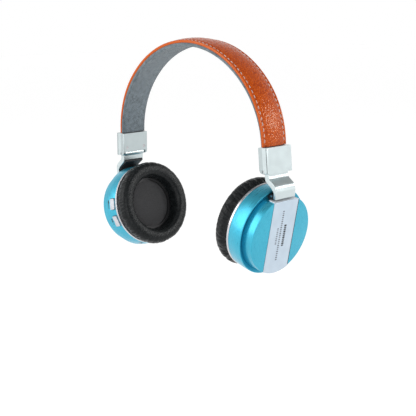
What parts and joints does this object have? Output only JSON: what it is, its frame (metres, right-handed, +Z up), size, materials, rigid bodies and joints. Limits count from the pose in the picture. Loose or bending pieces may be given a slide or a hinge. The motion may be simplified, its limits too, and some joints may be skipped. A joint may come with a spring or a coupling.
{
  "type": "over ear headphones",
  "caption": "Folding over-ear headphones: stitched leather headband, silver sliders and bent arms, tilting round ear cups with soft cushions, buttons and sockets.",
  "frame": {"origin": "middle of the headband pad's underside, where the headband rests on a head or hangs on a stand", "axes": "+X towards the right ear cup (the wearer's left ear is at -X), +Y the way the wearer faces, +Z up; at rest the cups hang open with the sliders closed"},
  "size_m": [0.1952, 0.0726, 0.1804],
  "materials": {
    "tan_leather": "pebbled tan leather with a soft sheen",
    "grey_fabric": "matte blue-grey woven lining over foam",
    "satin_silver": "satin silver",
    "plate_silver": "bead-blasted silver",
    "teal_shell": "brushed anodised teal",
    "spring_steel": "plain steel",
    "black_plastic": "matte black",
    "black_leatherette": "wrinkled black leatherette over foam",
    "speaker_cloth": "black speaker cloth",
    "driver_steel": "zinc-plated steel",
    "driver_film": "thin film",
    "silver_keys": "silver-coated plastic",
    "circuit_green": "solder mask",
    "battery_wrap": "foil pouch",
    "cable_rubber": "matte black"
  },
  "bodies": {
    "headband": {"headband_leather": "tan_leather", "headband_pad": "grey_fabric", "headband_spring": "spring_steel", "headband_cable": "cable_rubber", "left_strap_guide": "black_plastic", "right_strap_guide": "black_plastic"},
    "left_slider": {"left_end_cap_outer": "satin_silver", "left_end_cap_inner": "satin_silver", "left_cap_screws": "spring_steel", "left_slider_strip": "spring_steel", "left_fold_pin": "spring_steel"},
    "left_arm": {"left_arm": "satin_silver", "left_arm_liner": "black_plastic"},
    "left_cup": {"left_tilt_pin": "spring_steel", "left_hinge_block": "black_plastic", "left_hinge_screws": "spring_steel", "left_cup_housing": "teal_shell", "left_front_cap": "teal_shell", "left_face_plate": "plate_silver", "left_trim_ring": "plate_silver", "left_baffle": "black_plastic", "left_baffle_screws": "spring_steel", "left_driver_frame": "driver_steel", "left_driver_magnet": "driver_steel", "left_driver_diaphragm": "driver_film", "left_speaker_cloth": "speaker_cloth", "left_cushion_ring": "black_plastic", "left_ear_cushion": "black_leatherette", "left_microphone": "black_plastic", "left_switch_board": "circuit_green", "left_circuit_board": "circuit_green", "left_usb_port": "spring_steel", "left_audio_jack": "black_plastic"},
    "right_slider": {"right_end_cap_outer": "satin_silver", "right_end_cap_inner": "satin_silver", "right_cap_screws": "spring_steel", "right_slider_strip": "spring_steel", "right_fold_pin": "spring_steel"},
    "right_arm": {"right_arm": "satin_silver", "right_arm_liner": "black_plastic"},
    "right_cup": {"right_tilt_pin": "spring_steel", "right_hinge_block": "black_plastic", "right_hinge_screws": "spring_steel", "right_cup_housing": "teal_shell", "right_front_cap": "teal_shell", "right_face_plate": "plate_silver", "right_trim_ring": "plate_silver", "right_baffle": "black_plastic", "right_baffle_screws": "spring_steel", "right_driver_frame": "driver_steel", "right_driver_magnet": "driver_steel", "right_driver_diaphragm": "driver_film", "right_speaker_cloth": "speaker_cloth", "right_cushion_ring": "black_plastic", "right_ear_cushion": "black_leatherette", "right_battery": "battery_wrap"},
    "play_button": {"left_play_button": "silver_keys"},
    "volume_rocker": {"left_volume_rocker": "silver_keys"}
  },
  "joints": [
    {"name": "left_slide", "type": "slide", "parent": "headband", "child": "left_slider", "axis": [-0.0523, 0, -0.9986], "range_m": [0, 0.015]},
    {"name": "left_fold", "type": "hinge", "parent": "left_slider", "child": "left_arm", "pos_m": [-0.0856, 0, -0.0922], "axis": [0, -1, 0], "range_deg": [0, 82]},
    {"name": "left_tilt", "type": "hinge", "parent": "left_arm", "child": "left_cup", "pos_m": [-0.0912, 0, -0.1105], "axis": [0, -1, 0], "range_deg": [-5, 5]},
    {"name": "right_slide", "type": "slide", "parent": "headband", "child": "right_slider", "axis": [0.0523, 0, -0.9986], "range_m": [0, 0.015]},
    {"name": "right_fold", "type": "hinge", "parent": "right_slider", "child": "right_arm", "pos_m": [0.0856, 0, -0.0922], "axis": [0, 1, 0], "range_deg": [0, 82]},
    {"name": "right_tilt", "type": "hinge", "parent": "right_arm", "child": "right_cup", "pos_m": [0.0912, 0, -0.1105], "axis": [0, 1, 0], "range_deg": [-5, 5]},
    {"name": "play_press", "type": "slide", "parent": "left_cup", "child": "play_button", "axis": [0.0342, 0.989, -0.1438], "range_m": [0, 0.0003], "stiffness_N_per_m": 1500, "springref_m": -0.0002},
    {"name": "volume_rock", "type": "hinge", "parent": "left_cup", "child": "volume_rocker", "pos_m": [-0.0706, -0.03164, -0.14716], "axis": [-0.9729, 0, -0.2312], "range_deg": [-3, 3], "stiffness_Nm_per_rad": 0.1}
  ]
}
